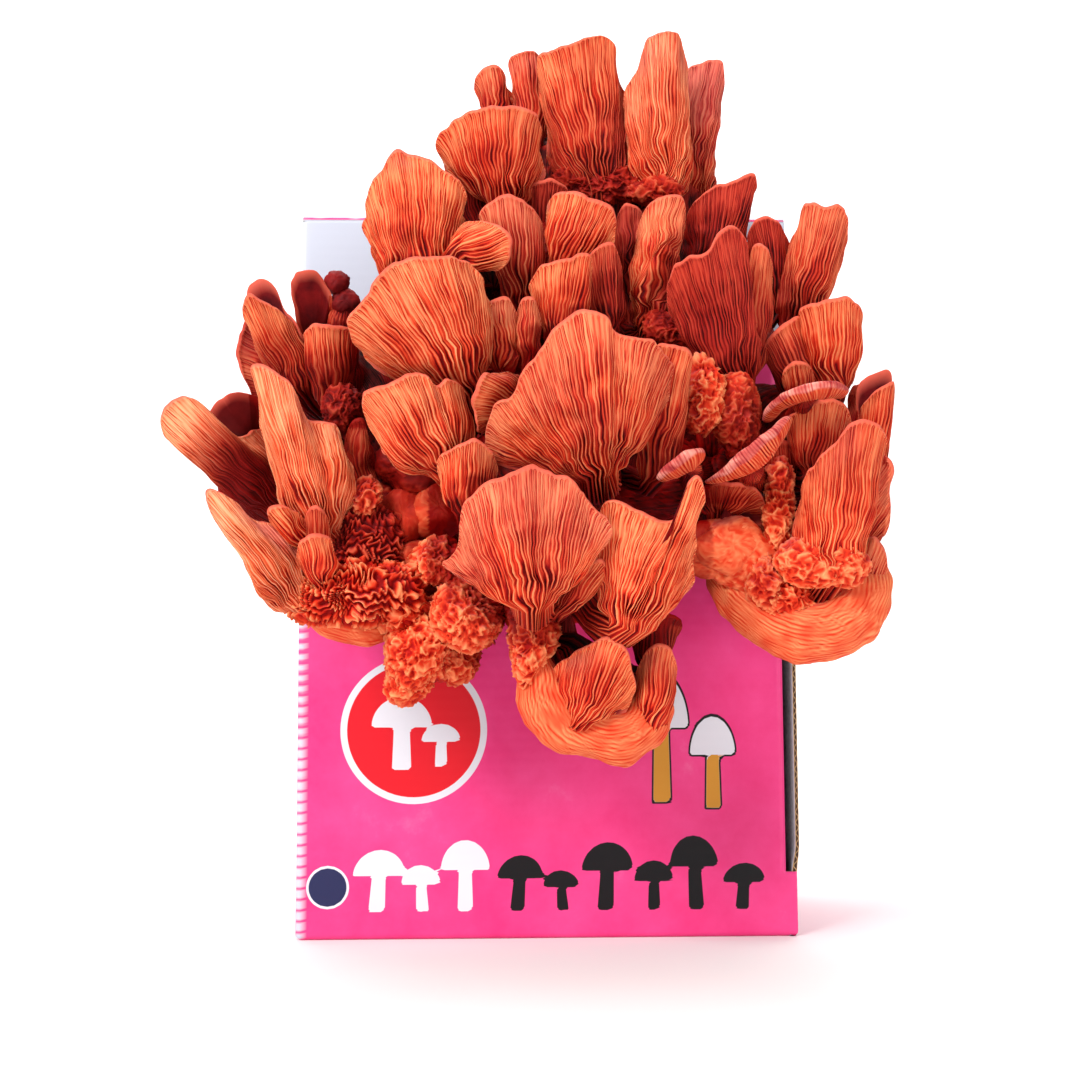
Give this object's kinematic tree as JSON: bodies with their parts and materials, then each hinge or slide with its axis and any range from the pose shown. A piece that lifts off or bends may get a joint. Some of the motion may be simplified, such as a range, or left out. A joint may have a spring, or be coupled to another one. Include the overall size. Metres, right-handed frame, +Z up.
{
  "type": "oyster mushroom grow kit",
  "caption": "Printed corrugated carton holding a substrate block, with a dense cluster of coral-orange oyster mushrooms fruiting out of a window in its front.",
  "frame": {"origin": "centre of the carton's base, on the surface that it stands on", "axes": "+Z up; the carton's front, where the mushrooms grow, faces -Y; +X is to the right seen from the front"},
  "size_m": [0.2242, 0.2216, 0.2915],
  "materials": {
    "printed_board": "satin",
    "grain_block": "matte",
    "mushroom": "matte"
  },
  "bodies": {
    "root": {"carton": "printed_board", "substrate_block": "grain_block", "cluster_base": "mushroom", "middle_branch": "mushroom", "crown_branch": "mushroom", "left_branch": "mushroom", "right_branch": "mushroom"}
  },
  "joints": []
}
